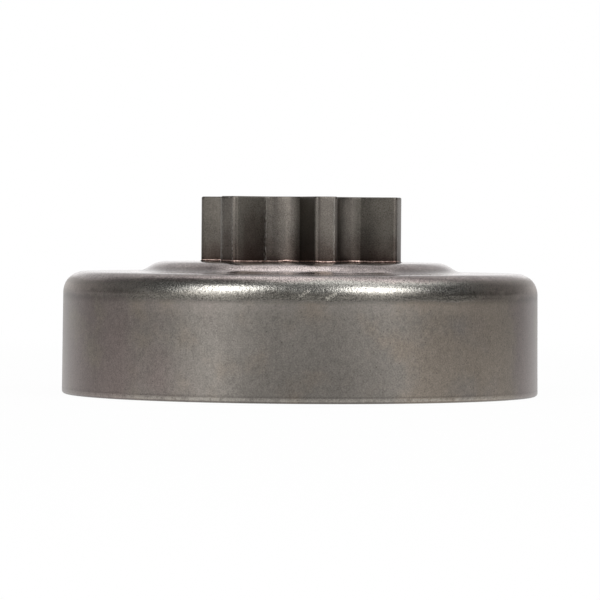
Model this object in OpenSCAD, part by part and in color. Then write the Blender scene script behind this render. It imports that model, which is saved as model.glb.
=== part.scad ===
// Clutch drum with a spur sprocket, from a small petrol chainsaw.
// The drum is one pressed steel cup. The sprocket sits on its raised boss,
// goes through it with a short spigot, and is held by a copper braze fillet.
// The open rim lies on z = 0, Z is the axis of turning, and one tooth points along +X.

/* [Clutch drum] */
// Outer diameter of the drum at its open rim
drum_d = 71; // [64:0.5:80]
// Height of the flat web above the rim
drum_h = 18.2; // [16:0.1:24]
// Thickness of the pressed sheet
sheet_t = 2.3; // [1.8:0.1:2.6]
// Outer radius of the shoulder between wall and web
shoulder_r = 3.1; // [2.8:0.1:4.5]
// Draft of the outer wall, in degrees
wall_draft = 0.5; // [0:0.1:1]
// Rounding of the outer edge of the rim
rim_round = 0.5; // [0.2:0.1:0.8]
// Chamfer of the inner edge of the rim
rim_chamfer = 0.4; // [0.2:0.1:0.8]

/* [Raised boss] */
// Diameter of the flat on top of the boss
boss_flat_d = 40.4; // [34:0.2:44]
// Height of the boss above the web
boss_h = 1.55; // [1:0.05:2.5]
// Radius of both bends in the side of the boss
boss_bend_r = 4.05; // [3:0.05:5]

/* [Sprocket] */
// Number of teeth
teeth = 6; // [6:1:7]
// Diameter over the tooth tips
tip_d = 30.4; // [29:0.1:32]
// Diameter at the bottom of the tooth gaps
root_d = 18.6; // [18:0.1:19.6]
// Width of a tooth across its tip, before its corners are rounded
tip_w = 3.3; // [2.6:0.05:3.8]
// Radius of the rounded corners of a tooth tip
corner_r = 0.75; // [0.3:0.05:0.9]
// Radius of the curved floor of a tooth gap
floor_r = 5.3; // [4:0.1:8]
// Width of that floor, between the straight flanks
floor_w = 5.2; // [4:0.1:5.4]
// Height of the teeth above the boss
tooth_h = 9.7; // [8:0.05:14]
// Chamfer where the ends of the teeth were turned
end_chamfer = 0.2; // [0.1:0.05:0.4]

/* [Bearing seat] */
// Diameter of the bore that takes a 10 x 13 needle cage
bore_d = 13; // [12:0.1:14]
// Chamfer at both ends of the bore
bore_chamfer = 0.5; // [0.2:0.1:0.8]
// Diameter of the spigot that goes through the drum
spigot_d = 17.2; // [16.4:0.1:17.6]

/* [Braze] */
// Reach of the braze fillet, out from the teeth and up them
braze_reach = 0.3; // [0.2:0.05:0.4]

/* [Hidden] */
$fn = 144;
eps = 0.01;
steel = [0.44, 0.42, 0.40];
sintered = [0.30, 0.28, 0.26];
copper = [0.56, 0.42, 0.36];

drum_r = drum_d / 2;
track_r = drum_r - sheet_t;
shoulder_in_r = shoulder_r - sheet_t;
shoulder_z = drum_h - shoulder_r;
shoulder_x = drum_r - shoulder_z * tan(wall_draft) - shoulder_r;
boss_top = drum_h + boss_h;
boss_slope = acos(1 - boss_h / (2 * boss_bend_r));
boss_foot_x = boss_flat_d / 2 + 2 * boss_bend_r * sin(boss_slope);
spigot_r = spigot_d / 2;
seat_z = boss_top - sheet_t;

tip_r = tip_d / 2;
sprocket_top = boss_top + tooth_h;
pitch_angle = 360 / teeth;
braze_steps = 3;

// Distance from p, along the unit vector d, to the far crossing with a circle of radius r
// about the origin
function to_circle(p, d, r) = sqrt(pow(p * d, 2) - p * p + r * r) - p * d;

// One tooth gap with its middle along +X. Its floor is an arc about floor_c. The flank on
// the +Y side runs from floor_edge to the sharp tip corner, and into_tooth is square to it.
floor_c = [root_d / 2 + floor_r, 0];
floor_edge = [floor_c[0] - sqrt(pow(floor_r, 2) - pow(floor_w / 2, 2)), floor_w / 2];
sharp_angle = pitch_angle / 2 - asin(tip_w / 2 / tip_r);
flank = tip_r * [cos(sharp_angle), sin(sharp_angle)] - floor_edge;
up_flank = flank / norm(flank);
into_tooth = [-up_flank[1], up_flank[0]];
// Past this distance from the axis the gap has left its floor circle
floor_end_x = floor_edge[0] + up_flank[0] * ((floor_c - floor_edge) * up_flank);
// The circle of a rounded tip corner stands a hair proud of the flank and of the tip circle,
// so that it crosses both cleanly
proud = 0.002;
beside_flank = floor_edge + (corner_r - proud) * into_tooth;
corner_c = beside_flank
    + up_flank * to_circle(beside_flank, up_flank, tip_r - corner_r + proud);
waste_reach = 3;

// Points on an arc about c, with both ends
function arc(c, r, from, to, steps = 8) =
    [for (i = [0:steps]) let (a = from + (to - from) * i / steps) c + r * [cos(a), sin(a)]];

// Half section of the cup's outside, from the rim in to the hole
function outer_skin() = concat(
    arc([drum_r - rim_round, rim_round], rim_round, -90, 0, 5),
    arc([shoulder_x, shoulder_z], shoulder_r, wall_draft, 90, 10),
    arc([boss_foot_x, drum_h + boss_bend_r], boss_bend_r, -90, -90 - boss_slope, 6),
    arc([boss_flat_d / 2, boss_top - boss_bend_r], boss_bend_r, 90 - boss_slope, 90, 6),
    [[spigot_r, boss_top]]);

// Half section of the cup's inside, from the hole out to the rim
function inner_skin() = concat(
    [[spigot_r, seat_z]],
    arc([boss_flat_d / 2, boss_top - boss_bend_r], boss_bend_r - sheet_t, 90, 90 - boss_slope, 6),
    arc([boss_foot_x, drum_h + boss_bend_r], boss_bend_r + sheet_t, -90 - boss_slope, -90, 6),
    arc([track_r - shoulder_in_r, shoulder_z], shoulder_in_r, 90, 0, 5),
    [[track_r, rim_chamfer], [track_r + rim_chamfer, 0]]);

// What lies outside the rounded tip corner
module corner_waste(grow) {
    outward = waste_reach * corner_c / norm(corner_c);
    beside = waste_reach * into_tooth;
    difference() {
        polygon([corner_c, corner_c + outward, corner_c + outward - beside, corner_c - beside]);
        translate(corner_c) circle(corner_r + grow);
    }
}

// Space between two teeth, its middle along +X; grow makes the teeth thicker
module tooth_gap(grow) {
    foot = floor_edge - grow * into_tooth;
    flanks_meet = foot - up_flank * foot[1] / up_flank[1];
    far = foot + tip_r * up_flank;
    intersection() {
        polygon([flanks_meet, far, [far[0], -far[1]]]);
        union() {
            translate(floor_c) circle(floor_r - grow);
            translate([floor_end_x, -tip_r]) square(2 * tip_r);
        }
    }
    corner_waste(grow);
    mirror([0, 1]) corner_waste(grow);
}

// Round blank less the gaps and the sharp tip corners
module sprocket_outline(grow = 0) {
    difference() {
        circle(tip_r + grow);
        for (i = [0:teeth - 1]) rotate(pitch_angle * (i + 0.5)) tooth_gap(grow);
    }
}

// Turned body that trims the teeth at both ends and bores them
module turned_blank() {
    c = end_chamfer;
    b = bore_d / 2;
    bc = bore_chamfer;
    rotate_extrude() polygon([
        [b + bc, seat_z], [spigot_r, seat_z], [spigot_r, boss_top], [tip_r + eps, boss_top],
        [tip_r + eps, sprocket_top - c - eps], [tip_r - c, sprocket_top],
        [b + bc, sprocket_top], [b, sprocket_top - bc], [b, seat_z + bc]]);
}

module clutch_drum() {
    color(steel) rotate_extrude() polygon(concat(outer_skin(), inner_skin()));
}

module spur_sprocket() {
    color(sintered) intersection() {
        turned_blank();
        union() {
            translate([0, 0, boss_top]) linear_extrude(tooth_h) sprocket_outline();
            translate([0, 0, seat_z]) cylinder(r = spigot_r, h = sheet_t);
        }
    }
}

// Fillet with a hollow face, built up in thin steps
module braze_fillet() {
    step_h = braze_reach / braze_steps;
    color(copper) translate([0, 0, boss_top]) for (i = [0:braze_steps - 1]) {
        reach = braze_reach * pow(1 - i / braze_steps, 2);
        translate([0, 0, i * step_h]) linear_extrude(step_h) difference() {
            sprocket_outline(reach);
            sprocket_outline();
        }
    }
}

clutch_drum();
spur_sprocket();
braze_fillet();
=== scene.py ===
"""Looks of a chainsaw clutch drum with its spur sprocket: meshes, finishes, studio and camera.

Lengths in the shaders are millimetres, and everything else is in metres, in the frame of the
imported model: the open rim lies on z = 0, and Z is the axis of turning.
"""

import logging
import math
from collections.abc import Callable, Mapping, Sequence
from dataclasses import dataclass
from enum import Enum

import bpy
import numpy as np
from mathutils import Matrix, Vector


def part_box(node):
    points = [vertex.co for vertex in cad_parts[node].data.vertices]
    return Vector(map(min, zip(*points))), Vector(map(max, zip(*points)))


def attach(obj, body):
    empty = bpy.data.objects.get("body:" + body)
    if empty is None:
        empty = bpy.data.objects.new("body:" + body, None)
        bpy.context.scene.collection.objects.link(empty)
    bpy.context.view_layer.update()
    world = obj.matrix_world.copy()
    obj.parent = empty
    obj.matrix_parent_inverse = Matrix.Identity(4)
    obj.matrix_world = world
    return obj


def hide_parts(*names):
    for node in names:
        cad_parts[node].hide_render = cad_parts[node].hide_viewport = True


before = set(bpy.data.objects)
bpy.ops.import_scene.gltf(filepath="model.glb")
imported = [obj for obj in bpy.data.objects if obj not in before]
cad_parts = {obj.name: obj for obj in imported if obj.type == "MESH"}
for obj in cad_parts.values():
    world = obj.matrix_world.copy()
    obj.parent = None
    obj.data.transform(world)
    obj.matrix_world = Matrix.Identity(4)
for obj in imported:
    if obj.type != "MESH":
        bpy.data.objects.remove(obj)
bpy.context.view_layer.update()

LOG = logging.getLogger("clutch_drum")
MM = 0.001
PER_METRE = 1000.0

Colour = tuple[float, float, float]
Points = np.ndarray


class Part(Enum):
    """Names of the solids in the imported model."""

    DRUM = "clutch_drum"
    SPROCKET = "spur_sprocket"
    BRAZE = "braze_fillet"


class Slot(Enum):
    """Material slots of the record."""

    DRUM = "drum_steel"
    SPROCKET = "sprocket_steel"
    BRAZE = "braze_copper"


class Mark(Enum):
    """Names of the values that meshes carry for their finishes."""

    RUN = "run"
    CORNER = "corner"
    PAINTED_FLANK_SHADE = "deep"
    RISE = "rise"


def paint(hex_code: str) -> Colour:
    """Turns a screen colour into the linear colour that shaders use.

    Args:
        hex_code: six hexadecimal digits, red first.

    Returns:
        The linear red, green and blue.
    """
    screen = [int(hex_code[i:i + 2], 16) / 255 for i in (0, 2, 4)]
    red, green, blue = (c / 12.92 if c <= 0.04045 else ((c + 0.055) / 1.055) ** 2.4 for c in screen)
    return red, green, blue


def arc(centre: tuple[float, float], radius: float, start: float, end: float, steps: int) -> Points:
    """Points on an arc, with both ends.

    Args:
        centre: centre of the arc.
        radius: its radius.
        start: angle of the first point, in degrees.
        end: angle of the last point, in degrees.
        steps: number of steps between them.

    Returns:
        An array of points, one in each row.
    """
    angle = np.radians(np.linspace(start, end, steps + 1))
    return np.column_stack([centre[0] + radius * np.cos(angle), centre[1] + radius * np.sin(angle)])


def line(start: Sequence[float], end: Sequence[float], steps: int) -> Points:
    """Points on a straight line, without its two ends.

    Args:
        start: one end.
        end: the other end.
        steps: number of steps from end to end.

    Returns:
        An array of points, one in each row.
    """
    share = np.linspace(0, 1, steps + 1)[1:-1, None]
    return (1 - share) * np.asarray(start) + share * np.asarray(end)


class Wire:
    """A number on its way through a shader. Each operator adds a Math node."""

    def __init__(self, bench: "Bench", socket: bpy.types.NodeSocket) -> None:
        """Holds the output socket that the number comes from."""
        self.bench = bench
        self.socket = socket

    def __add__(self, other: "Wire | float") -> "Wire":
        """Adds a number."""
        return self.bench.math("ADD", self, other)

    def __radd__(self, other: float) -> "Wire":
        """Adds to a plain number."""
        return self.bench.math("ADD", other, self)

    def __sub__(self, other: "Wire | float") -> "Wire":
        """Takes a number away."""
        return self.bench.math("SUBTRACT", self, other)

    def __rsub__(self, other: float) -> "Wire":
        """Takes this away from a plain number."""
        return self.bench.math("SUBTRACT", other, self)

    def __mul__(self, other: "Wire | float") -> "Wire":
        """Multiplies by a number."""
        return self.bench.math("MULTIPLY", self, other)

    def __rmul__(self, other: float) -> "Wire":
        """Multiplies a plain number."""
        return self.bench.math("MULTIPLY", other, self)


Value = Wire | float | Sequence[float]


class Bench:
    """The node tree of one material or world, and the calls that add nodes to it."""

    def __init__(self, tree: bpy.types.NodeTree) -> None:
        """Empties the tree."""
        self.tree = tree
        tree.nodes.clear()

    def node(self, kind: str, settings: Mapping[str, object],
             sockets: Mapping[str | int, Value]) -> bpy.types.Node:
        """Adds one node.

        Args:
            kind: type of the node, without its ShaderNode prefix.
            settings: the node's own settings; stops are a ramp's places and colours.
            sockets: values or wires of its inputs, by name, identifier or number.

        Returns:
            The new node.
        """
        made = self.tree.nodes.new("ShaderNode" + kind)
        for name, value in settings.items():
            if name == "stops":
                self._set_stops(made.color_ramp.elements, value)
            else:
                setattr(made, name, value)
        for key, value in sockets.items():
            socket = self._socket(made.inputs, key)
            if isinstance(value, Wire):
                self.tree.links.new(value.socket, socket)
            elif isinstance(value, (int, float)):
                socket.default_value = value
            else:
                socket.default_value = (*value, 1.0)[:len(socket.default_value)]
        return made

    @staticmethod
    def _set_stops(elements: bpy.types.ColorRampElements,
                   stops: Sequence[tuple[float, Colour]]) -> None:
        """Gives a ramp its places and colours."""
        while len(elements) < len(stops):
            elements.new(1.0)
        for element, (place, colour) in zip(elements, stops):
            element.position = place
            element.color = (*colour, 1.0)

    @staticmethod
    def _socket(sockets: bpy.types.bpy_prop_collection, key: str | int) -> bpy.types.NodeSocket:
        """Finds a socket by its number, its identifier or its name."""
        if isinstance(key, int):
            return sockets[key]
        return next(s for s in sockets if key in (s.identifier, s.name))

    def wire(self, node: bpy.types.Node, key: str | int = 0) -> Wire:
        """Takes a wire from an output of a node."""
        return Wire(self, self._socket(node.outputs, key))

    def math(self, operation: str, *values: Wire | float) -> Wire:
        """Adds a Math node and returns its result."""
        return self.wire(self.node("Math", {"operation": operation}, dict(enumerate(values))))

    def vector(self, operation: str, *values: Value, result: str = "Vector") -> Wire:
        """Adds a Vector Math node and returns one of its results."""
        made = self.node("VectorMath", {"operation": operation}, dict(enumerate(values)))
        return self.wire(made, result)

    def dot(self, first: Value, second: Value) -> Wire:
        """Dot product of two vectors."""
        return self.vector("DOT_PRODUCT", first, second, result="Value")

    def length(self, vector: Value) -> Wire:
        """Length of a vector."""
        return self.vector("LENGTH", vector, result="Value")

    def mix(self, share: Wire | float, first: Value, second: Value, blend: str = "MIX") -> Wire:
        """Mixes two colours.

        Args:
            share: 0 for the first colour and 1 for the second.
            first: a colour.
            second: a colour.
            blend: the way the second goes on the first.

        Returns:
            The mixed colour.
        """
        made = self.node("Mix", {"data_type": "RGBA", "blend_type": blend, "clamp_factor": True},
                         {"Factor_Float": share, "A_Color": first, "B_Color": second})
        return self.wire(made, "Result_Color")

    def step(self, value: Wire, low: float, high: float) -> Wire:
        """Smooth rise from 0 at low to 1 at high, or a fall where high is the lower."""
        made = self.node("MapRange", {"interpolation_type": "SMOOTHSTEP"},
                         {"Value": value, "From Min": low, "From Max": high})
        return self.wire(made, "Result")

    def place(self) -> Wire:
        """Place of the shaded point in the object's frame, in millimetres."""
        coordinates = self.wire(self.node("TexCoord", {}, {}), "Object")
        return self.vector("MULTIPLY", coordinates, (PER_METRE,) * 3)

    def mark(self, mark: Mark) -> Wire:
        """A value that the mesh carries."""
        made = self.node("Attribute", {"attribute_name": mark.value}, {})
        return self.wire(made, "Fac")

    def noise(self, place: Wire, size: float | Sequence[float], detail: float = 2.0,
              roughness: float = 0.5) -> Wire:
        """Cloudy noise around 0.5.

        Args:
            place: where it is read.
            size: size of its clouds, or their size along X, Y and Z.
            detail: how many finer layers it has.
            roughness: weight of the finer layers.

        Returns:
            The noise.
        """
        sizes = (size,) * 3 if isinstance(size, float) else size
        scaled = self.vector("MULTIPLY", place, tuple(1 / s for s in sizes))
        made = self.node("TexNoise", {}, {
            "Vector": scaled, "Scale": 1.0, "Detail": detail, "Roughness": roughness})
        return self.wire(made)

    def specks(self, place: Wire, spacing: float, low: float, high: float) -> Wire:
        """Scattered specks: 1 near random points and 0 away from them.

        Args:
            place: where they are read.
            spacing: mean distance between the points.
            low: distance from a point at which its speck is whole.
            high: distance at which it has gone.

        Returns:
            The share of speck.
        """
        made = self.node("TexVoronoi", {}, {"Vector": place, "Scale": 1 / spacing})
        return self.step(self.wire(made, "Distance"), high / spacing, low / spacing)

    def stroke(self, place: Wire, start: Vector, end: Vector, width: float) -> Wire:
        """A straight mark with soft ends: 1 on its line and 0 beside it.

        Args:
            place: where it is read, in millimetres.
            start: one end, in millimetres.
            end: the other end, in millimetres.
            width: how wide it is.

        Returns:
            The share of mark.
        """
        along = end - start
        offset = self.vector("SUBTRACT", place, tuple(start))
        made = self.math("MULTIPLY", self.dot(offset, tuple(along)), 1 / along.length_squared)
        share = self.wire(self.node("Clamp", {}, {"Value": made}))
        nearest = self.node("VectorMath", {"operation": "SCALE"}, {0: tuple(along), "Scale": share})
        gap = self.length(self.vector("SUBTRACT", offset, self.wire(nearest)))
        return self.step(gap, width, 0.3 * width)

    def bump(self, height: Wire, depth: float, under: Wire | None = None) -> Wire:
        """Bends the normal by a height.

        Args:
            height: height, as a share of depth.
            depth: height at 1, in metres.
            under: a normal to bend further.

        Returns:
            The bent normal.
        """
        sockets: dict[str | int, Value] = {"Height": height, "Distance": depth}
        if under is not None:
            sockets["Normal"] = under
        return self.wire(self.node("Bump", {}, sockets))

    def metal(self, colour: Wire, roughness: Wire, normal: Wire) -> None:
        """Ends a material in bare metal."""
        shader = self.node("BsdfPrincipled", {}, {
            "Base Color": colour, "Metallic": 1.0, "Roughness": roughness, "Normal": normal})
        self.node("OutputMaterial", {}, {"Surface": self.wire(shader)})


def new_material(name: str) -> tuple[bpy.types.Material, Bench]:
    """Makes an empty material.

    Args:
        name: its name.

    Returns:
        The material and the bench that holds its nodes.
    """
    material = bpy.data.materials.new(name)
    material.use_nodes = True
    return material, Bench(material.node_tree)


@dataclass(frozen=True)
class PressedSteel:
    """Finish of the drum: brown-grey wall, worn silvery shoulder and lilac satin web, with painted light
    and shade.
    """

    wall_green: Colour = paint("87827c")
    wall_tan: Colour = paint("8c8379")
    wall_plum: Colour = paint("867b77")
    satin: Colour = paint("aba099")
    band: Colour = paint("89857e")
    silver: Colour = paint("aaa8a2")
    web: Colour = paint("b7aca9")
    web_dark: Colour = paint("8f8281")
    pit: Colour = paint("35332f")
    spark: Colour = paint("b9b5ab")
    rim: Colour = paint("a9a49c")
    polish_from: float = 14.5
    silver_from: float = 15.6
    silver_full: float = 16.6
    web_from: float = 17.95
    rim_top: float = 1.06
    rim_foot: float = 0.6
    wall_roughness: float = 0.33
    satin_roughness: float = 0.36
    silver_roughness: float = 0.24
    web_roughness: float = 0.17
    grain_size: float = 0.2
    grain_depth: float = 0.016 * MM
    pit_spacing: float = 0.9

    def make(self, front: Vector, brown_side: Vector,
             nicks: Sequence[tuple[Vector, Vector]]) -> bpy.types.Material:
        """Makes the material.

        Args:
            front: direction in which the shoulder is worn most, and about which the painted light and
                shade are laid out.
            brown_side: direction in which the wall is browner.
            nicks: ends of each nick on the shoulder, in millimetres.

        Returns:
            The material.
        """
        material, bench = new_material("pressed_steel")
        place = bench.place()
        run = bench.mark(Mark.RUN)
        broad = bench.noise(place, 13.0, detail=2.0)
        patch = bench.noise(place, 4.0, detail=3.0, roughness=0.6)
        fine = bench.noise(place, 0.9, detail=4.0, roughness=0.7)
        grain = bench.noise(place, self.grain_size, detail=2.0, roughness=0.6)
        drawn = bench.noise(place, (0.35, 0.35, 12.0), detail=2.0)

        radial = bench.vector("NORMALIZE", bench.vector("MULTIPLY", place, (1.0, 1.0, 0.0)))
        facing = bench.dot(radial, tuple(front))
        worn = 0.1 + 0.9 * bench.step(facing + 0.5 * (broad - 0.5), 0.58, 0.84)
        edge = run + 0.9 * (patch - 0.5) + 0.5 * (fine - 0.5)
        raised = bench.step(edge, self.polish_from, self.silver_full + 0.8)
        on_web = bench.step(edge + 2.5 * (broad - 0.5), self.web_from - 0.6, self.web_from + 0.6)
        polish = bench.step(edge, self.polish_from, self.polish_from + 0.6) * (1.0 - on_web) * worn

        blotch = bench.noise(place, 7.0, detail=2.0)
        wall = bench.mix(bench.step(facing + 0.9 * (broad - 0.5), 0.92, 0.5),
                         self.wall_green, self.wall_plum)
        browner = bench.step(bench.dot(radial, tuple(brown_side)), 0.92, 0.97)
        wall = bench.mix(bench.step(blotch + 0.2 * (fine - 0.5) + 0.25 * browner, 0.46, 0.76),
                         wall, self.wall_tan)
        web = bench.mix(bench.step(patch, 0.35, 0.65) * 0.5, self.web, self.web_dark)
        silver = bench.mix(bench.step(edge, self.silver_from, self.silver_full),
                           self.band, self.silver)
        colour = bench.mix(raised, wall, self.satin)
        colour = bench.mix(polish, colour, silver)
        colour = bench.mix(on_web, colour, web)
        ragged = run + 0.25 * (fine - 0.5)
        rim = (bench.step(ragged, self.rim_top, self.rim_top - 0.1)
               * bench.step(run, self.rim_foot - 0.1, self.rim_foot + 0.05))
        colour = bench.mix(rim * (0.15 + 0.35 * worn) * bench.step(fine, 0.3, 0.6), colour, self.rim)

        mottle_and_painted_light = 1.0 + (1.1 + 0.3 * polish) * (grain - 0.5) + 0.6 * (fine - 0.5) + 0.12 * (drawn - 0.5)
        mottle_and_painted_light = mottle_and_painted_light + 1.0 * on_web * (grain - 0.5) + 0.2 * (1.0 - raised) * (patch - 0.5)
        # Painted light: the top of the wall is lighter on the worn front.
        mottle_and_painted_light = mottle_and_painted_light + 0.13 * bench.step(run, 12.4, 13.8) * (1.0 - raised) * worn
        # Painted shade: a dark band where the wall meets the shoulder, darker on the worn front.
        painted_band_shade = bench.step(edge, 14.2, 14.9) * bench.step(edge, 15.6, 15.0)
        mottle_and_painted_light = mottle_and_painted_light * (1.0 - (0.12 + 0.17 * worn) * painted_band_shade)
        # Painted shade on the foot of the shoulder towards the browner side.
        painted_shade_over_band = browner * bench.step(edge, 14.8, 15.3) * bench.step(edge, 16.3, 15.7)
        mottle_and_painted_light = mottle_and_painted_light * (1.0 - 0.25 * painted_shade_over_band)
        # Painted light on the lower wall at the sides, and painted shade where it faces the front.
        middle = bench.step(facing, 0.92, 0.975)
        mottle_and_painted_light = mottle_and_painted_light * (1.0 + bench.step(run, 12.0, 2.0) * (0.1 - 0.24 * middle))
        # Painted shade on the web leading into the crease at the foot of the boss, at the front.
        painted_crease_shade = bench.step(run, 18.9, 19.3) * bench.step(run, 27.2, 26.6) * middle
        # Painted highlight on the lower bend of the boss, stronger away from the front; on its upper
        # bend, painted highlight at the front and painted shade away from it.
        beside = bench.step(facing, 0.9, 0.8)
        low_bend = bench.step(run, 26.9, 27.4) * bench.step(run, 28.4, 27.9)
        high_bend = bench.step(run, 27.9, 28.4) * bench.step(run, 30.4, 29.6)
        mottle_and_painted_light = mottle_and_painted_light * (1.0 - 0.28 * painted_crease_shade + low_bend * (0.4 + 0.35 * beside)
                           + high_bend * (0.4 - 0.7 * beside))
        # Painted shade on the wall away from the front; further round, painted light on the foot of the
        # shoulder and painted shade on the top of the wall.
        sides = bench.step(facing, 0.66, 0.45) * bench.step(edge, 15.6, 14.6)
        far = bench.step(facing, 0.8, 0.66)
        wall_top = bench.step(edge, 13.8, 14.8) * bench.step(edge, 15.9, 15.5)
        shoulder_foot = bench.step(edge, 15.7, 16.2) * bench.step(edge, 17.2, 16.6)
        mottle_and_painted_light = mottle_and_painted_light * (1.0 - 0.24 * sides) * (1.0 + far * (0.2 * shoulder_foot - 0.15 * wall_top))
        mottle_and_painted_light = mottle_and_painted_light - 0.3 * polish * bench.step(grain, 0.5, 0.34)
        # Painted shadow at the foot of the rim; the strip just above the rim band is also darker, more
        # on the worn front.
        painted_rim_shadow = bench.step(run, self.rim_foot, self.rim_foot - 0.15)
        over_rim = (bench.step(ragged, self.rim_top - 0.02, self.rim_top + 0.08)
                    * bench.step(run, self.rim_top + 0.4, self.rim_top + 0.15))
        mottle_and_painted_light = mottle_and_painted_light * (1.0 - 0.35 * painted_rim_shadow) * (1.0 - (0.1 + 0.1 * worn) * over_rim)
        tone = bench.wire(bench.node("CombineColor", {}, {0: mottle_and_painted_light, 1: mottle_and_painted_light, 2: mottle_and_painted_light}))
        colour = bench.mix(1.0, colour, tone, blend="MULTIPLY")
        pits = bench.specks(place, self.pit_spacing, 0.02, 0.15) * (1.0 - 0.75 * polish)
        colour = bench.mix(pits * 0.5, colour, self.pit)
        elsewhere = bench.vector("ADD", place, (31.0, 17.0, 5.0))
        sparks = bench.specks(elsewhere, self.pit_spacing, 0.02, 0.14) * bench.step(fine, 0.45, 0.6)
        colour = bench.mix(sparks * 0.3, colour, self.spark)

        dimple = bench.noise(place, 0.28, detail=2.0)
        nick = sum((bench.stroke(place, *ends, width=0.42) for ends in nicks), start=0.0)
        nick = nick * bench.step(dimple, 0.42, 0.56)
        colour = bench.mix(nick * 0.9, colour, self.spark)
        shoulder = bench.step(edge, self.polish_from, self.polish_from + 0.8)
        roughness = (self.wall_roughness + 0.1 * (fine - 0.5)
                     + shoulder * (self.satin_roughness - self.wall_roughness)
                     + polish * (self.silver_roughness - self.satin_roughness)
                     + on_web * (self.web_roughness - self.satin_roughness))
        relief = grain * (0.7 + 0.6 * polish - 0.2 * on_web) + 1.1 * polish * dimple
        relief = relief + 0.3 * drawn * (1.0 - shoulder) - pits
        normal = bench.bump(relief - 1.2 * nick, self.grain_depth)
        bench.metal(colour, roughness, normal)
        return material


@dataclass(frozen=True)
class SinteredSteel:
    """Finish of the sprocket: sintered steel with painted shade on the flanks, and thin worn lines at
    the tips.
    """

    tip: Colour = paint("75706a")
    pale: Colour = paint("807a73")
    # Painted shade for the flanks deep in the gaps.
    flank: Colour = paint("66625b")
    brown: Colour = paint("5f4f48")
    foot: Colour = paint("3c2b26")
    bright: Colour = paint("bab7b1")
    brown_height: float = 5.0
    foot_height: float = 1.1
    roughness: float = 0.38
    grain_size: float = 0.16
    grain_depth: float = 0.008 * MM
    pore_spacing: float = 0.6

    def make(self, foot: float, pale_side: Vector, stain_side: Vector, shaded_side: Vector,
             dotted_side: Vector) -> bpy.types.Material:
        """Makes the material.

        Args:
            foot: height of the foot of the teeth, in millimetres.
            pale_side: direction in which the painted shade on the flank is lighter.
            stain_side: direction of a reddish-brown stain.
            shaded_side: direction of a flank with painted light towards its tip and painted shade
                towards its foot.
            dotted_side: direction of a tip's edge that has dark dots and no worn line.

        Returns:
            The material.
        """
        material, bench = new_material("sintered_steel")
        place = bench.place()
        height = bench.dot(place, (0.0, 0.0, 1.0)) - foot
        corner = bench.mark(Mark.CORNER)
        deep = bench.mark(Mark.PAINTED_FLANK_SHADE)
        cloud = bench.noise(place, 2.5, detail=3.0)
        grain = bench.noise(place, self.grain_size, detail=2.0, roughness=0.65)
        pulled = bench.noise(place, (0.8, 0.8, 9.0), detail=3.0, roughness=0.6)
        colour = bench.mix(bench.step(pulled, 0.35, 0.65), self.tip, self.pale)
        radial = bench.vector("NORMALIZE", bench.vector("MULTIPLY", place, (1.0, 1.0, 0.0)))
        paler = bench.step(bench.dot(radial, tuple(pale_side)), 0.94, 0.985)
        # Painted shade on the flanks, weaker on the flank towards pale_side.
        dark = deep * (0.75 + 0.9 * (pulled - 0.5)) * (1.0 - 0.7 * paler)
        colour = bench.mix(dark, colour, self.flank)
        stain = bench.step(bench.dot(radial, tuple(stain_side)) + 0.004 * (pulled - 0.5), 0.9965, 0.9988)
        stain = stain * deep * bench.step(height + 5.0 * (pulled - 0.5), 8.5, 5.0)
        low = bench.step(height + 5.0 * (cloud - 0.5), self.brown_height, 0.0)
        colour = bench.mix(low * 0.6, colour, self.brown)
        colour = bench.mix(stain * 0.42, colour, self.foot)
        burnt = bench.step(height + 1.2 * (cloud - 0.5), self.foot_height, 0.2)
        colour = bench.mix(burnt * 0.5, colour, self.foot)
        mottle_and_painted_light = 1.0 + 1.7 * (grain - 0.5) + 0.5 * (cloud - 0.5)
        mottle_and_painted_light = mottle_and_painted_light * (1.0 - 0.34 * bench.step(height, 9.0, 0.5))
        reach = bench.length(bench.vector("MULTIPLY", place, (1.0, 1.0, 0.0)))
        # Painted shade low in the gaps, near the root.
        hollow = bench.step(reach, 13.6, 11.0) * bench.step(height + 2.0 * (cloud - 0.5), 6.5, 1.0)
        mottle_and_painted_light = mottle_and_painted_light * (1.0 - 0.2 * hollow * deep)
        # Painted light towards the tip and painted shade towards the foot of the flank facing
        # shaded_side.
        shaded = bench.step(bench.dot(radial, tuple(shaded_side)), 0.93, 0.97) * deep
        mottle_and_painted_light = mottle_and_painted_light * (1.0 + shaded * (0.12 - 0.34 * bench.step(reach, 13.4, 11.0)))
        tone = bench.wire(bench.node("CombineColor", {}, {0: mottle_and_painted_light, 1: mottle_and_painted_light, 2: mottle_and_painted_light}))
        colour = bench.mix(1.0, colour, tone, blend="MULTIPLY")
        broken = bench.noise(place, (0.12, 0.12, 0.5), detail=3.0)
        dotted = bench.step(bench.dot(radial, tuple(dotted_side)), 0.9975, 0.999)
        # Worn lines along the tip edges; on the crease set in the outline the same bright line is a
        # painted highlight.
        line_share = bench.step(broken, 0.42, 0.66) * corner
        colour = bench.mix(line_share * (0.55 - 0.55 * dotted), colour, self.bright)
        colour = bench.mix(bench.step(grain, 0.42, 0.56) * corner * dotted * 0.45, colour, self.foot)
        end_edge = bench.step(height, 9.3, 9.5) * bench.step(height, 9.69, 9.62)
        chips = bench.specks(place, 1.3, 0.08, 0.3) * end_edge * (1.0 - deep)
        colour = bench.mix(chips * 0.7, colour, self.bright)
        pores = bench.specks(place, self.pore_spacing, 0.02, 0.12)
        colour = bench.mix(pores * 0.5, colour, self.foot)
        roughness = self.roughness + 0.12 * (cloud - 0.5)
        normal = bench.bump(grain + 0.5 * pulled - pores, self.grain_depth)
        bench.metal(colour, roughness, normal)
        return material


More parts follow.
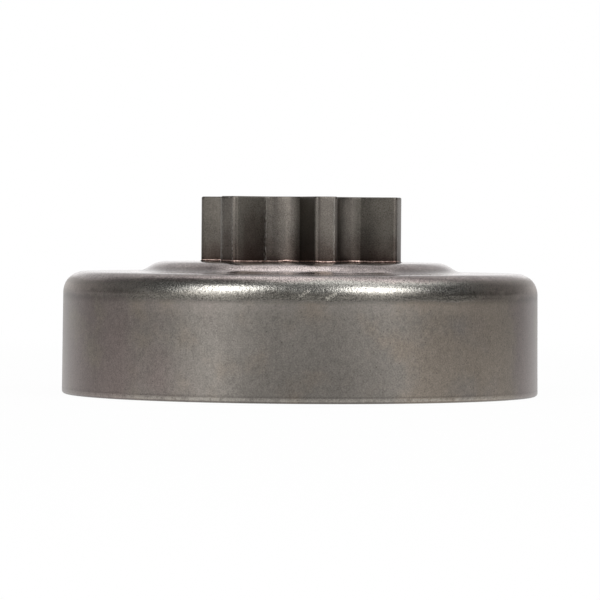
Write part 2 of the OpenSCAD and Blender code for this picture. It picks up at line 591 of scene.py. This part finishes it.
@dataclass(frozen=True)
class CopperBraze:
    """Finish of the braze: pinkish copper that is burnt brown along its foot."""

    copper: Colour = paint("d0b5aa")
    dull: Colour = paint("8c746c")
    burnt: Colour = paint("30211b")
    roughness: float = 0.32
    grain_size: float = 0.26
    grain_depth: float = 0.02 * MM

    def make(self) -> bpy.types.Material:
        """Makes the material."""
        material, bench = new_material("copper_braze")
        place = bench.place()
        rise = bench.mark(Mark.RISE)
        cloud = bench.noise(place, 1.1, detail=3.0)
        grain = bench.noise(place, self.grain_size, detail=2.0)
        bare = bench.noise(place, 2.6, detail=2.0)
        colour = bench.mix(bench.step(cloud + 1.3 * (grain - 0.5), 0.38, 0.62), self.copper, self.dull)
        colour = bench.mix(bench.step(bare + 0.3 * (cloud - 0.5), 0.5, 0.4) * 0.3, colour, self.burnt)
        colour = bench.mix(bench.step(rise + 0.5 * (cloud - 0.5), 0.62, 0.3), colour, self.burnt)
        normal = bench.bump(grain, self.grain_depth)
        bench.metal(colour, self.roughness + 0.2 * cloud, normal)
        return material


def closed_grid(name: str, rings: Points) -> bpy.types.Object:
    """Joins each ring of points to the next, and the last to the first, into a closed mesh.

    Args:
        name: name of the object.
        rings: places of the points, by ring, by point and by axis.

    Returns:
        The object, smooth except at its sharp edges.
    """
    count, around, _ = rings.shape
    index = np.arange(count * around).reshape(count, around)
    up, along = np.roll(index, -1, 0), np.roll(index, -1, 1)
    quads = np.stack([index, along, np.roll(up, -1, 1), up], -1).reshape(-1, 4)
    mesh = bpy.data.meshes.new(name)
    mesh.from_pydata(rings.reshape(-1, 3), [], quads.tolist())
    mesh.shade_smooth()
    mesh.set_sharp_from_angle(angle=math.radians(15))
    piece = bpy.data.objects.new(name, mesh)
    bpy.context.scene.collection.objects.link(piece)
    return piece


def carry(piece: bpy.types.Object, mark: Mark, values: Points) -> None:
    """Stores a value for each point of a mesh, for its finish to read."""
    attribute = piece.data.attributes.new(mark.value, "FLOAT", "POINT")
    attribute.data.foreach_set("value", np.ascontiguousarray(values, np.float32).ravel())


def hand_in(piece: bpy.types.Object, part: Part, material: bpy.types.Material) -> None:
    """Dresses a piece and puts it in place of its solid.

    Args:
        piece: the piece.
        part: the solid that it stands for.
        material: its finish.
    """
    piece.data.materials.append(material)
    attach(piece, "root")
    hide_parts(part.value)
    LOG.info("%s: %d faces, for %s", piece.name, len(piece.data.polygons), part.value)


def ripple(turn: Points, height: Points, size: float, waves: int, seed: int) -> Points:
    """Slow random waves over a round surface.

    Args:
        turn: angle of each point about the axis, in radians.
        height: its place across the waves, in metres.
        size: height of the waves, in metres.
        waves: how many waves are added up.
        seed: seed of their random directions.

    Returns:
        The height of the waves at each point.
    """
    dice = np.random.default_rng(seed)
    total = np.zeros(np.broadcast(turn, height).shape)
    for _ in range(waves):
        around = dice.integers(3, 22)
        across = dice.uniform(-400, 400)
        total = total + np.sin(around * turn + across * height + dice.uniform(0, math.tau))
    return size * total / math.sqrt(waves)


@dataclass
class ClutchDrum:
    """The pressed cup."""

    shoulder_r: float = 3.1 * MM
    wall_draft: float = 0.5
    rim_round: float = 0.5 * MM
    rim_chamfer: float = 0.4 * MM
    boss_flat_r: float = 20.2 * MM
    boss_h: float = 1.55 * MM
    boss_bend_r: float = 4.05 * MM
    spigot_r: float = 8.6 * MM
    around: int = 384
    dent: float = 0.008 * MM
    # Nicks on the shoulder: angle from the middle of the front and height, at both ends
    nicks: tuple[tuple[float, float, float, float], ...] = (
        (0.0, 15.25, 1.7, 15.95), (6.1, 14.8, 8.1, 15.55))

    def __post_init__(self) -> None:
        """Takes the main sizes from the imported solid."""
        _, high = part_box(Part.DRUM.value)
        seat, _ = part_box(Part.SPROCKET.value)
        self.radius = high.x
        self.boss_top = high.z
        self.sheet_t = high.z - seat.z
        self.web_top = self.boss_top - self.boss_h
        self.shoulder_z = self.web_top - self.shoulder_r
        lean = self.shoulder_z * math.tan(math.radians(self.wall_draft))
        self.shoulder_x = self.radius - lean - self.shoulder_r

    def profile(self) -> Points:
        """Half section of the cup, from the rim over the outside and back along the inside."""
        slope = math.degrees(math.acos(1 - self.boss_h / (2 * self.boss_bend_r)))
        foot_x = self.boss_flat_r + 2 * self.boss_bend_r * math.sin(math.radians(slope))
        track_r = self.radius - self.sheet_t
        in_r = self.shoulder_r - self.sheet_t
        seat = self.boss_top - self.sheet_t
        low_bend = (foot_x, self.web_top + self.boss_bend_r)
        high_bend = (self.boss_flat_r, self.boss_top - self.boss_bend_r)
        outer_r = self.boss_bend_r
        rim = arc((self.radius - self.rim_round, self.rim_round), self.rim_round, -90, 0, 8)
        shoulder = arc((self.shoulder_x, self.shoulder_z), self.shoulder_r, self.wall_draft, 90, 26)
        rise = arc(low_bend, outer_r, -90, -90 - slope, 10)
        crown = arc(high_bend, outer_r, 90 - slope, 90, 10)
        hole_top = (self.spigot_r, self.boss_top)
        hole_bottom = (self.spigot_r, seat)
        crown_in = arc(high_bend, outer_r - self.sheet_t, 90, 90 - slope, 8)
        rise_in = arc(low_bend, outer_r + self.sheet_t, -90 - slope, -90, 8)
        corner_in = arc((track_r - in_r, self.shoulder_z), in_r, 90, 0, 8)
        chamfer_top = (track_r, self.rim_chamfer)
        chamfer_foot = (track_r + self.rim_chamfer, 0.0)
        return np.vstack([
            rim, line(rim[-1], shoulder[0], 30), shoulder, line(shoulder[-1], rise[0], 12),
            rise, crown, line(crown[-1], hole_top, 16), [hole_top], line(hole_top, hole_bottom, 4),
            [hole_bottom], line(hole_bottom, crown_in[0], 10), crown_in, rise_in,
            line(rise_in[-1], corner_in[0], 8), corner_in, line(corner_in[-1], chamfer_top, 12),
            [chamfer_top, chamfer_foot], line(chamfer_foot, rim[0], 3)])

    def build(self) -> bpy.types.Object:
        """Builds the mesh and stores how far each point lies along the skin from the rim."""
        section = self.profile()
        run = np.concatenate([[0.0], np.cumsum(np.linalg.norm(np.diff(section, axis=0), axis=1))])
        turn = np.linspace(0, math.tau, self.around, endpoint=False)
        waves = ripple(turn, run[:, None], self.dent, 14, seed=5)
        still = np.minimum(1, np.minimum(run, run[-1] - run) / (2 * MM))[:, None]
        reach = section[:, :1] + waves * still * (section[:, :1] > self.spigot_r * 1.05)
        rings = np.stack([reach * np.cos(turn), reach * np.sin(turn),
                          section[:, 1:] + np.zeros_like(turn)], -1)
        piece = closed_grid("pressed_drum", rings)
        carry(piece, Mark.RUN, np.repeat(run * PER_METRE, self.around))
        return piece

    def on_shoulder(self, turn: float, height: float) -> Vector:
        """Finds a point on the shoulder.

        Args:
            turn: its angle from the middle of the front, in degrees.
            height: its height in millimetres.

        Returns:
            The point, in millimetres.
        """
        rise = max(0.0, height * MM - self.shoulder_z)
        reach = self.shoulder_x + math.sqrt(self.shoulder_r ** 2 - rise ** 2)
        angle = math.radians(turn + PhotoCamera.azimuth - 90)
        return Vector((reach * math.cos(angle), reach * math.sin(angle), height * MM)) * PER_METRE

    def dress(self, piece: bpy.types.Object) -> None:
        """Gives the drum its finish and its place."""
        nicks = [(self.on_shoulder(a, b), self.on_shoulder(c, d)) for a, b, c, d in self.nicks]
        front, brown_side = toward(1.0, 3.0, 0.0), toward(1.0, 42.0, 0.0)
        hand_in(piece, Part.DRUM, PressedSteel().make(front, brown_side, nicks))


@dataclass
class ToothOutline:
    """Outline of the sprocket, seen along its axis."""

    teeth: int = 6
    tip_r: float = 15.2 * MM
    root_r: float = 9.3 * MM
    tip_w: float = 3.3 * MM
    corner_r: float = 0.75 * MM
    floor_r: float = 5.3 * MM
    floor_w: float = 5.2 * MM
    line_w: float = 0.13 * MM

    def half_gap(self) -> tuple[Points, Points]:
        """Points from the middle of a gap to the middle of a tooth, with their normals.

        Returns:
            The points and the outward normals, for a gap whose middle lies along +X.
        """
        pitch = 360 / self.teeth
        floor_c = np.array([self.root_r + self.floor_r, 0.0])
        half = self.floor_w / 2
        edge = np.array([floor_c[0] - math.sqrt(self.floor_r ** 2 - half ** 2), half])
        sharp = math.radians(pitch / 2) - math.asin(self.tip_w / 2 / self.tip_r)
        flank = self.tip_r * np.array([math.cos(sharp), math.sin(sharp)]) - edge
        up = flank / np.linalg.norm(flank)
        into = np.array([-up[1], up[0]])
        beside = edge + self.corner_r * into
        along = beside @ up
        centre = beside + up * (math.sqrt(
            along ** 2 - beside @ beside + (self.tip_r - self.corner_r) ** 2) - along)
        floor_end = 180 - math.degrees(math.asin(half / self.floor_r))
        flank_turn = math.degrees(math.atan2(-into[1], -into[0]))
        tip_turn = math.degrees(math.atan2(centre[1], centre[0]))
        floor = arc(tuple(floor_c), self.floor_r, 180, floor_end, 12)
        corner = arc(tuple(centre), self.corner_r, flank_turn, tip_turn, 12)
        tip = arc((0.0, 0.0), self.tip_r, tip_turn, pitch / 2, 8)
        sides = line(floor[-1], corner[0], 10)
        points = np.vstack([floor, sides, corner, tip[1:]])
        normals = np.vstack([
            (floor_c - floor) / self.floor_r, np.tile(-into, (len(sides), 1)),
            (corner - centre) / self.corner_r, tip[1:] / self.tip_r])
        return points, normals

    def tip_edges(self, gap: Points) -> Points:
        """Numbers of the first and last point that lie on the circle of the tips."""
        on_tip = np.flatnonzero(np.linalg.norm(gap, axis=1) > self.tip_r - 0.001 * MM)
        middle = len(gap) / 2
        return np.array([on_tip[on_tip < middle].max(), on_tip[on_tip > middle].min()])

    def whole(self) -> tuple[Points, Points, Points, Points]:
        """The whole outline.

        Returns:
            Its points, its outward normals, how near each point is to the edge of a tip or to the
            painted highlight in one crease of each gap, and how much painted shade it takes on a flank.
        """
        points, normals = self.half_gap()
        mirror = np.array([1.0, -1.0])
        gap = np.vstack([points[:0:-1] * mirror, points[:-1]])
        gap_normals = np.vstack([normals[:0:-1] * mirror, normals[:-1]])
        gaps = np.linalg.norm(gap[:, None] - gap[self.tip_edges(gap)][None], axis=2).min(1)
        near = np.clip(1.3 - gaps / self.line_w, 0, 1)
        # Painted highlight: a bright line along the crease between floor and flank at one side of each
        # gap.
        near[np.abs(gap[:, 1] + self.floor_w / 2).argmin()] = 0.8
        # Painted shade on the flanks, set off to one side of each gap and fading out just below the
        # tips.
        beside = np.interp(gap[:, 1] / self.floor_w, (-0.48, -0.4, 0.28, 0.42), (1, 0, 0, 1))
        below = np.interp(np.linalg.norm(gap, axis=1),
                          (self.tip_r - 0.5 * MM, self.tip_r - 0.1 * MM), (1, 0))
        turned = [], []
        for i in range(self.teeth):
            angle = math.tau * (i + 0.5) / self.teeth
            turn = np.array([[math.cos(angle), math.sin(angle)], [-math.sin(angle), math.cos(angle)]])
            turned[0].append(gap @ turn)
            turned[1].append(gap_normals @ turn)
        return (np.vstack(turned[0]), np.vstack(turned[1]), np.tile(near, self.teeth),
                np.tile(beside * below, self.teeth))


@dataclass
class SpurSprocket:
    """The sprocket, from its teeth to the spigot that goes through the drum."""

    outline: ToothOutline
    bore_r: float = 6.5 * MM
    bore_chamfer: float = 0.5 * MM
    spigot_r: float = 8.6 * MM
    edge_r: float = 0.24 * MM
    edge_steps: int = 4
    face_rings: int = 12
    height_rings: int = 36

    def build(self) -> bpy.types.Object:
        """Builds the mesh and stores how near each point is to a worn tip edge or the painted highlight,
        and its painted shade on the flanks.
        """
        low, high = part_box(Part.SPROCKET.value)
        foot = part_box(Part.DRUM.value)[1].z
        points, normals, near, deep = self.outline.whole()
        reach = np.linalg.norm(points, axis=1)
        unit = points / reach[:, None]
        rings, corner, flank = [], [], []

        def add(flat: Points, height: float, worn: Points | float, dark: Points | float) -> None:
            """Adds a ring at a height."""
            rings.append(np.column_stack([flat, np.full(len(flat), height)]))
            # worn carries the worn lines at the tips and the painted highlight in one crease of each
            # gap; dark carries the painted shade on the flanks.
            corner.append(np.broadcast_to(worn, len(flat)))
            flank.append(np.broadcast_to(dark, len(flat)))

        for height in np.linspace(foot, high.z - self.edge_r, self.height_rings):
            add(points, height, near, deep)
        for angle in np.radians(np.linspace(0, 90, self.edge_steps + 1))[1:]:
            inset = self.edge_r * (1 - math.cos(angle))
            add(points - inset * normals, high.z - self.edge_r * (1 - math.sin(angle)), near, deep)
        top = rings[-1][:, :2]
        lip = (self.bore_r + self.bore_chamfer) * unit
        for share in np.linspace(0, 1, self.face_rings + 1)[1:]:
            add((1 - share) * top + share * lip, high.z, 0.0, 0.0)
        for height in np.linspace(high.z - self.bore_chamfer, low.z + self.bore_chamfer, 12):
            add(self.bore_r * unit, height, 0.0, 0.0)
        for ring, height in ((lip, low.z), (self.spigot_r * unit, low.z), (self.spigot_r * unit, foot)):
            add(ring, height, 0.0, 0.0)
        piece = closed_grid("toothed_sprocket", np.array(rings))
        carry(piece, Mark.CORNER, np.array(corner))
        carry(piece, Mark.PAINTED_FLANK_SHADE, np.array(flank))
        return piece

    def dress(self, piece: bpy.types.Object) -> None:
        """Gives the sprocket its finish and its place."""
        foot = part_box(Part.DRUM.value)[1].z * PER_METRE
        sides = (toward(1.0, turn, 0.0) for turn in (-81.0, -33.5, 64.0, 10.5))
        finish = SinteredSteel().make(foot, *sides)
        hand_in(piece, Part.SPROCKET, finish)


@dataclass
class BrazeBead:
    """The bead of braze round the foot of the teeth, with a hollow face."""

    outline: ToothOutline
    reach: float = 0.3 * MM
    overlap: float = 0.03 * MM
    face_steps: int = 7
    spread: float = 0.25

    def build(self) -> bpy.types.Object:
        """Builds the mesh and stores how high each point stands on the bead."""
        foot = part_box(Part.DRUM.value)[1].z
        points, normals, _, _ = self.outline.whole()
        turn = np.arctan2(points[:, 1], points[:, 0])
        width = self.reach * (1 + self.spread * ripple(turn, np.zeros(1), 1.0, 9, seed=3).clip(-1, 1))
        tall = self.reach * (1 + self.spread * ripple(turn, np.ones(1), 1.0, 9, seed=8).clip(-1, 1))
        rings, rise = [], []
        for angle in np.radians(np.linspace(0, 90, self.face_steps + 1)):
            out, up = 1 - math.sin(angle), 1 - math.cos(angle)
            flat = points + (width * out)[:, None] * normals
            rings.append(np.column_stack([flat, foot + tall * up]))
            rise.append(np.full(len(points), up))
        for up in (1.0, 0.0):
            flat = points - self.overlap * normals
            rings.append(np.column_stack([flat, foot + tall * up]))
            rise.append(np.full(len(points), up))
        piece = closed_grid("braze_bead", np.array(rings))
        carry(piece, Mark.RISE, np.array(rise))
        return piece

    def dress(self, piece: bpy.types.Object) -> None:
        """Gives the bead its finish and its place."""
        hand_in(piece, Part.BRAZE, CopperBraze().make())


@dataclass
class PhotoCamera:
    """The camera, where the photograph was taken from."""

    azimuth: float = 15.5
    distance: float = 613.8 * MM
    height: float = 24.7 * MM
    aim_height: float = 14.07 * MM
    aim_side: float = -0.05 * MM
    lens: float = 246.5
    sensor: float = 36.0
    roll: float = 0.0072

    def build(self) -> bpy.types.Object:
        """Makes the camera and hands it to the scene."""
        data = bpy.data.cameras.new("photo_camera")
        data.lens = self.lens
        data.sensor_width = self.sensor
        camera = bpy.data.objects.new("photo_camera", data)
        camera.location = toward(self.distance, 0.0, self.height)
        aim = toward(self.aim_side, 90.0, self.aim_height) - camera.location
        look = aim.to_track_quat("-Z", "Y").to_matrix().to_4x4()
        camera.rotation_euler = (look @ Matrix.Rotation(self.roll, 4, "Z")).to_euler()
        bpy.context.scene.collection.objects.link(camera)
        bpy.context.scene.camera = camera
        LOG.info("camera at %.0f mm", self.distance * PER_METRE)
        return camera


def toward(distance: float, turn: float, height: float) -> Vector:
    """A place round the object.

    Args:
        distance: its distance from the axis.
        turn: its angle from the camera, to the right, in degrees.
        height: its height.

    Returns:
        The place.
    """
    angle = math.radians(PhotoCamera.azimuth + turn)
    return Vector((distance * math.sin(angle), -distance * math.cos(angle), height))


@dataclass(frozen=True)
class Glow:
    """A soft bright patch on the tent: where it is seen from the object, its size and strength."""

    turn: float
    rise: float
    core: float
    edge: float
    strength: float
    flat: float = 1.0

    def middle(self) -> Vector:
        """Direction of its middle, with heights stretched by flat."""
        rise = math.radians(self.rise)
        return toward(math.cos(rise), self.turn, self.flat * math.sin(rise)).normalized()


@dataclass
class Studio:
    """Pale floor, white surround, and a dim tent with soft lights in it."""

    floor_size: float = 6.0
    floor_glow: float = 0.97
    floor_far: float = 0.35
    sink: float = 0.02 * MM
    tent_r: float = 1.4
    tent_glow: float = 0.115
    tent_rings: int = 24
    tent_around: int = 48
    glows: tuple[Glow, ...] = (
        Glow(-38.6, 41.0, 5.5, 16.3, 4.7),
        Glow(-41.0, 20.5, 4.0, 22.0, 2.5),
        Glow(41.7, 38.0, 6.0, 17.8, 4.45),
        Glow(41.5, 20.5, 4.0, 22.0, 1.65),
        Glow(-68.0, 3.0, 5.0, 28.0, 0.18),
        Glow(68.0, 3.0, 5.0, 28.0, 0.06),
        Glow(95.0, 73.0, 3.5, 32.0, 1.25),
        Glow(-168.0, 64.5, 3.0, 17.0, 0.85),
        Glow(0.0, 51.0, 5.0, 60.0, 0.11),
        Glow(0.0, 8.0, 5.0, 32.0, 0.1),
        Glow(-138.0, 12.0, 4.0, 26.0, 0.15),
        Glow(-122.0, 6.0, 4.0, 24.0, 0.07),
        Glow(138.0, 16.0, 4.0, 20.0, 0.06),
        Glow(180.0, 0.0, 15.5, 62.0, 0.76, flat=3.8),
        Glow(180.0, 32.0, 11.0, 43.0, 0.45))

    def build(self) -> None:
        """Makes the whole set."""
        self.floor()
        self.tent()
        self.world()

    @staticmethod
    def staged(name: str, corners: Sequence[Sequence[float]],
               faces: Sequence[Sequence[int]]) -> bpy.types.Object:
        """Makes a mesh that isn't part of the object."""
        mesh = bpy.data.meshes.new(name)
        mesh.from_pydata(corners, [], faces)
        thing = bpy.data.objects.new(name, mesh)
        bpy.context.scene.collection.objects.link(thing)
        return thing

    @staticmethod
    def seen_white(bench: Bench) -> Wire:
        """1 for rays that show the surround: to the camera, or through a reflection or glass."""
        path = bench.node("LightPath", {}, {})
        rays = ("Is Camera Ray", "Is Glossy Ray", "Is Transmission Ray")
        return bench.math("MINIMUM", sum((bench.wire(path, ray) for ray in rays), start=0.0), 1.0)

    def floor(self) -> None:
        """Lays the floor, white where it is seen, with the object's shadow kept near it."""
        half = self.floor_size / 2
        corners = [(-half, -half, -self.sink), (half, -half, -self.sink),
                   (half, half, -self.sink), (-half, half, -self.sink)]
        sheet = self.staged("floor", corners, [(0, 1, 2, 3)])
        material, bench = new_material("pale_floor")
        paper = bench.node("BsdfDiffuse", {}, {"Color": (0.85, 0.85, 0.85)})
        white = bench.node("Emission", {}, {"Color": (1.0, 1.0, 1.0), "Strength": 1.0})
        away = bench.length(bench.place())
        near = bench.step(away, self.floor_far * PER_METRE, 0.3 * self.floor_far * PER_METRE)
        share = self.seen_white(bench) * (1.0 - (1.0 - self.floor_glow) * near)
        both = bench.node("MixShader", {}, {0: share, 1: bench.wire(paper), 2: bench.wire(white)})
        bench.node("OutputMaterial", {}, {"Surface": bench.wire(both)})
        sheet.data.materials.append(material)
        LOG.info("floor of %.0f m", self.floor_size)

    def tent(self) -> None:
        """Puts up the tent that the metal reflects. The camera sees through it."""
        rise = np.radians(np.linspace(0, 88, self.tent_rings))[:, None]
        turn = np.linspace(0, math.tau, self.tent_around, endpoint=False)
        corners = np.stack([np.cos(rise) * np.cos(turn), np.cos(rise) * np.sin(turn),
                            np.sin(rise) + 0 * turn], -1).reshape(-1, 3) * self.tent_r
        index = np.arange(len(corners)).reshape(self.tent_rings, self.tent_around)
        along = np.roll(index, -1, 1)
        faces = np.stack([index[:-1], index[1:], along[1:], along[:-1]], -1).reshape(-1, 4).tolist()
        cloth = self.staged("tent", corners.tolist(), faces + [index[-1].tolist()])
        cloth.visible_camera = False
        material, bench = new_material("tent_cloth")
        direction = bench.vector("NORMALIZE", bench.place())
        light = sum((self.patch(bench, direction, glow) for glow in self.glows),
                    start=self.tent_glow)
        colour = bench.wire(bench.node("CombineColor", {}, {0: light, 1: light, 2: light}))
        shader = bench.node("BsdfPrincipled", {}, {
            "Base Color": (0.0, 0.0, 0.0), "Specular IOR Level": 0.0,
            "Emission Color": colour, "Emission Strength": 1.0})
        bench.node("OutputMaterial", {}, {"Surface": bench.wire(shader)})
        cloth.data.materials.append(material)
        LOG.info("tent with %d soft lights", len(self.glows))

    @staticmethod
    def patch(bench: Bench, direction: Wire, glow: Glow) -> Wire:
        """Light of one soft patch in a direction."""
        seen = direction
        if glow.flat != 1.0:
            seen = bench.vector("NORMALIZE", bench.vector("MULTIPLY", seen, (1.0, 1.0, glow.flat)))
        facing = bench.dot(seen, tuple(glow.middle()))
        low, high = (math.cos(math.radians(angle)) for angle in (glow.edge, glow.core))
        return bench.step(facing, low, high) * glow.strength

    def world(self) -> None:
        """Surrounds the set with white, a little dimmer where it only lights."""
        world = bpy.data.worlds.new("white_surround")
        bpy.context.scene.world = world
        world.use_nodes = True
        bench = Bench(world.node_tree)
        dim = bench.node("Background", {}, {"Color": (1.0, 1.0, 1.0), "Strength": 0.8})
        white = bench.node("Background", {}, {"Color": (1.0, 1.0, 1.0), "Strength": 1.0})
        both = bench.node("MixShader", {}, {
            0: self.seen_white(bench), 1: bench.wire(dim), 2: bench.wire(white)})
        bench.node("OutputWorld", {}, {"Surface": bench.wire(both)})
        LOG.info("white surround")


def main() -> None:
    """Builds the camera, the pieces and the set, in that order."""
    logging.basicConfig(level=logging.INFO, format="%(name)s: %(message)s")
    bpy.context.scene.view_settings.view_transform = "Standard"
    PhotoCamera().build()
    outline = ToothOutline()
    for maker in (ClutchDrum(), SpurSprocket(outline), BrazeBead(outline)):
        maker.dress(maker.build())
    Studio().build()


if __name__ == "__main__":
    main()
